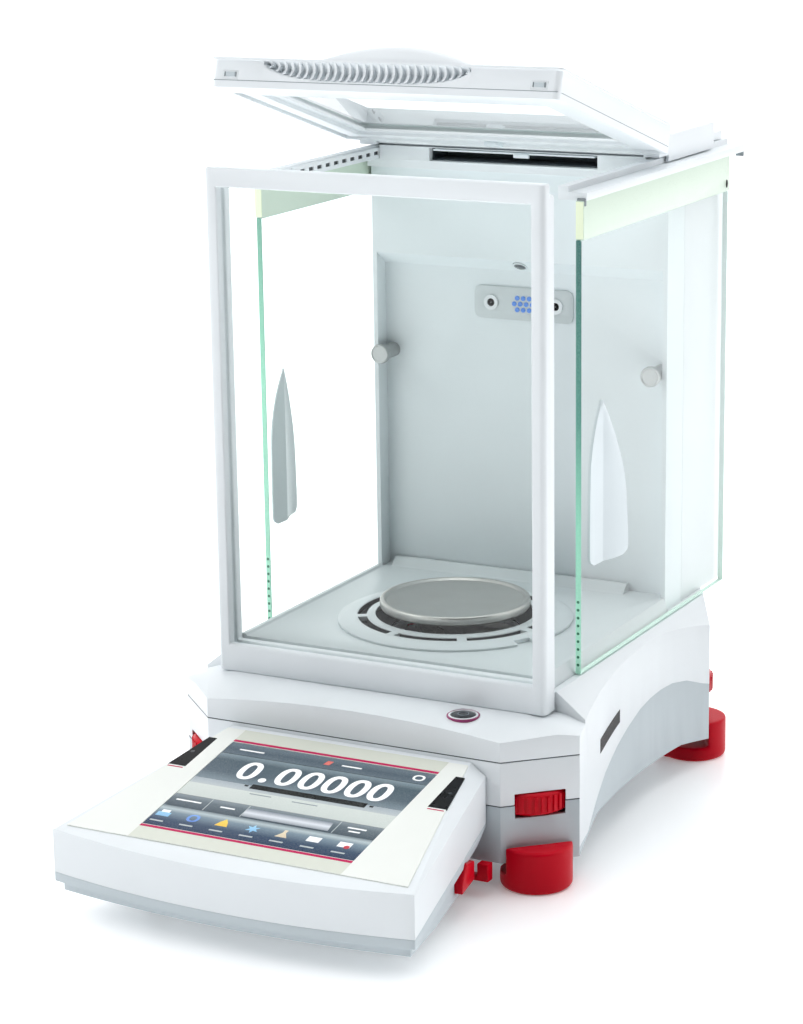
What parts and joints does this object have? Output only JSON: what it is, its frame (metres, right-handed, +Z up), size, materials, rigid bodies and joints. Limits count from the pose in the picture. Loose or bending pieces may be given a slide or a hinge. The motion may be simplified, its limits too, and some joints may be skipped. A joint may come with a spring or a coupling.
{
  "type": "analytical balance",
  "caption": "Glass-walled analytical balance with sliding side doors, flip-up lid, round pan and a detachable tilted touch terminal",
  "frame": {"origin": "centre of the whole model's footprint, on the table", "axes": "+X to the user's right, +Y towards the rear, +Z up; the terminal is at -Y"},
  "size_m": [0.2256, 0.4221, 0.3998],
  "materials": {
    "shell_white": "fine moulded texture",
    "shell_grey": "fine moulded texture",
    "tray_grey": "satin",
    "pane": "clear, green at the edges",
    "hanger_green": "translucent satin",
    "handle_white": "satin",
    "red_gloss": "gloss",
    "red_foot": "soft satin",
    "aluminium_cast": "cast",
    "aluminium_cell": "machined",
    "steel_screw": "plated",
    "steel_weight": "turned",
    "steel_knurled": "knurled",
    "pan_steel": "brushed",
    "circuit_board": "solder mask",
    "port_dark": "moulded",
    "window_black": "gloss",
    "bezel_purple": "satin",
    "vial_dark": "gloss",
    "lens_clear": "frosted",
    "indicator_blue": "gloss",
    "latch_grey": "satin",
    "overlay_film": "satin film",
    "display_face": "glossy screen",
    "foot_rubber": "matte"
  },
  "bodies": {
    "base": {"base_top_cover": "shell_white", "base_front_band": "shell_white", "base_lower_housing": "shell_grey", "chassis_plate": "aluminium_cast", "chassis_screws": "steel_screw", "load_cell": "aluminium_cell", "main_board": "circuit_board", "rear_port_panel": "port_dark", "power_inlet": "port_dark", "side_window": "window_black", "bubble_bezel": "bezel_purple", "bubble_vial": "vial_dark", "chamber_tray": "tray_grey", "front_frame": "shell_white", "front_glass": "pane", "rear_wall_panel": "shell_white", "tower_cover": "shell_white", "tower_screws": "steel_screw", "head_housing": "shell_white", "chamber_light": "lens_clear", "ionizer_panel": "tray_grey", "ionizer_nozzles": "shell_white", "ionizer_indicator": "indicator_blue", "hinge_pins": "steel_screw", "dock_bracket": "red_gloss"},
    "lid": {"lid_frame": "shell_white", "lid_glass": "pane", "lid_grip": "shell_white", "lid_latches": "latch_grey"},
    "door_left": {"door_left_glass": "pane", "door_left_hanger": "hanger_green", "door_left_rail": "shell_white", "door_left_handle": "handle_white"},
    "door_right": {"door_right_glass": "pane", "door_right_hanger": "hanger_green", "door_right_rail": "shell_white", "door_right_handle": "handle_white"},
    "pan": {"weighing_pan": "pan_steel", "pan_support": "aluminium_cell"},
    "draft_ring": {"draft_ring": "tray_grey"},
    "thumbscrew_left": {"thumbscrew_left": "steel_knurled"},
    "thumbscrew_right": {"thumbscrew_right": "steel_knurled"},
    "calibration_weight": {"calibration_weight": "steel_weight"},
    "terminal": {"terminal_upper_shell": "shell_white", "terminal_lower_shell": "shell_grey", "terminal_overlay": "overlay_film", "terminal_display": "display_face", "terminal_sensors": "window_black", "terminal_board": "circuit_board", "terminal_feet": "foot_rubber"},
    "release_button_left": {"release_button_left": "red_gloss"},
    "release_button_right": {"release_button_right": "red_gloss"},
    "level_wheel_front_left": {"level_wheel_front_left": "red_gloss"},
    "foot_front_left": {"foot_front_left": "red_foot"},
    "level_wheel_front_right": {"level_wheel_front_right": "red_gloss"},
    "foot_front_right": {"foot_front_right": "red_foot"},
    "level_wheel_rear_left": {"level_wheel_rear_left": "red_gloss"},
    "foot_rear_left": {"foot_rear_left": "red_foot"},
    "level_wheel_rear_right": {"level_wheel_rear_right": "red_gloss"},
    "foot_rear_right": {"foot_rear_right": "red_foot"}
  },
  "joints": [
    {"name": "lid_hinge", "type": "hinge", "parent": "base", "child": "lid", "pos_m": [0, 0.10695, 0.343], "axis": [-1, 0, 0], "range_deg": [-16.8, 75]},
    {"name": "door_left_slide", "type": "slide", "parent": "base", "child": "door_left", "axis": [0, 1, 0], "range_m": [-0.0366, 0.0734]},
    {"name": "door_right_slide", "type": "slide", "parent": "base", "child": "door_right", "axis": [0, 1, 0], "range_m": [-0.0294, 0.0806]},
    {"name": "pan_lift", "type": "slide", "parent": "base", "child": "pan", "axis": [0, 0, 1], "range_m": [0, 0.06]},
    {"name": "draft_ring_lift", "type": "slide", "parent": "base", "child": "draft_ring", "axis": [0, 0, 1], "range_m": [0, 0.06]},
    {"name": "thumbscrew_left_turn", "type": "hinge", "parent": "base", "child": "thumbscrew_left", "pos_m": [-0.081, 0.11695, 0.221], "axis": [0, 1, 0], "continuous": true},
    {"name": "thumbscrew_right_turn", "type": "hinge", "parent": "base", "child": "thumbscrew_right", "pos_m": [0.081, 0.11695, 0.221], "axis": [0, 1, 0], "continuous": true},
    {"name": "calibration_lift", "type": "slide", "parent": "base", "child": "calibration_weight", "axis": [0, 0, 1], "range_m": [0, 0.003]},
    {"name": "terminal_undock", "type": "slide", "parent": "base", "child": "terminal", "axis": [0, -1, 0], "range_m": [0, 0.12]},
    {"name": "release_left_press", "type": "slide", "parent": "terminal", "child": "release_button_left", "axis": [1, 0, 0], "range_m": [0, 0.002], "stiffness_N_per_m": 800},
    {"name": "release_right_press", "type": "slide", "parent": "terminal", "child": "release_button_right", "axis": [-1, 0, 0], "range_m": [0, 0.002], "stiffness_N_per_m": 800},
    {"name": "level_wheel_front_left_turn", "type": "hinge", "parent": "base", "child": "level_wheel_front_left", "pos_m": [-0.08462, -0.05462, 0.0425], "axis": [0, 0, 1], "range_deg": [-1445, 965]},
    {"name": "foot_front_left_screw", "type": "slide", "parent": "base", "child": "foot_front_left", "axis": [0, 0, 1], "range_m": [-0.006, 0.004]},
    {"name": "level_wheel_front_right_turn", "type": "hinge", "parent": "base", "child": "level_wheel_front_right", "pos_m": [0.08462, -0.05462, 0.0425], "axis": [0, 0, 1], "range_deg": [-1445, 965]},
    {"name": "foot_front_right_screw", "type": "slide", "parent": "base", "child": "foot_front_right", "axis": [0, 0, 1], "range_m": [-0.006, 0.004]},
    {"name": "level_wheel_rear_left_turn", "type": "hinge", "parent": "base", "child": "level_wheel_rear_left", "pos_m": [-0.08099, 0.14331, 0.0425], "axis": [0, 0, 1], "range_deg": [-1445, 965]},
    {"name": "foot_rear_left_screw", "type": "slide", "parent": "base", "child": "foot_rear_left", "axis": [0, 0, 1], "range_m": [-0.006, 0.004]},
    {"name": "level_wheel_rear_right_turn", "type": "hinge", "parent": "base", "child": "level_wheel_rear_right", "pos_m": [0.08099, 0.14331, 0.0425], "axis": [0, 0, 1], "range_deg": [-1445, 965]},
    {"name": "foot_rear_right_screw", "type": "slide", "parent": "base", "child": "foot_rear_right", "axis": [0, 0, 1], "range_m": [-0.006, 0.004]}
  ],
  "couplings": [
    {"joint": "level_wheel_front_left_turn", "follows": "foot_front_left_screw", "rad_per_m": 4188.8},
    {"joint": "level_wheel_front_right_turn", "follows": "foot_front_right_screw", "rad_per_m": 4188.8},
    {"joint": "level_wheel_rear_left_turn", "follows": "foot_rear_left_screw", "rad_per_m": 4188.8},
    {"joint": "level_wheel_rear_right_turn", "follows": "foot_rear_right_screw", "rad_per_m": 4188.8}
  ]
}
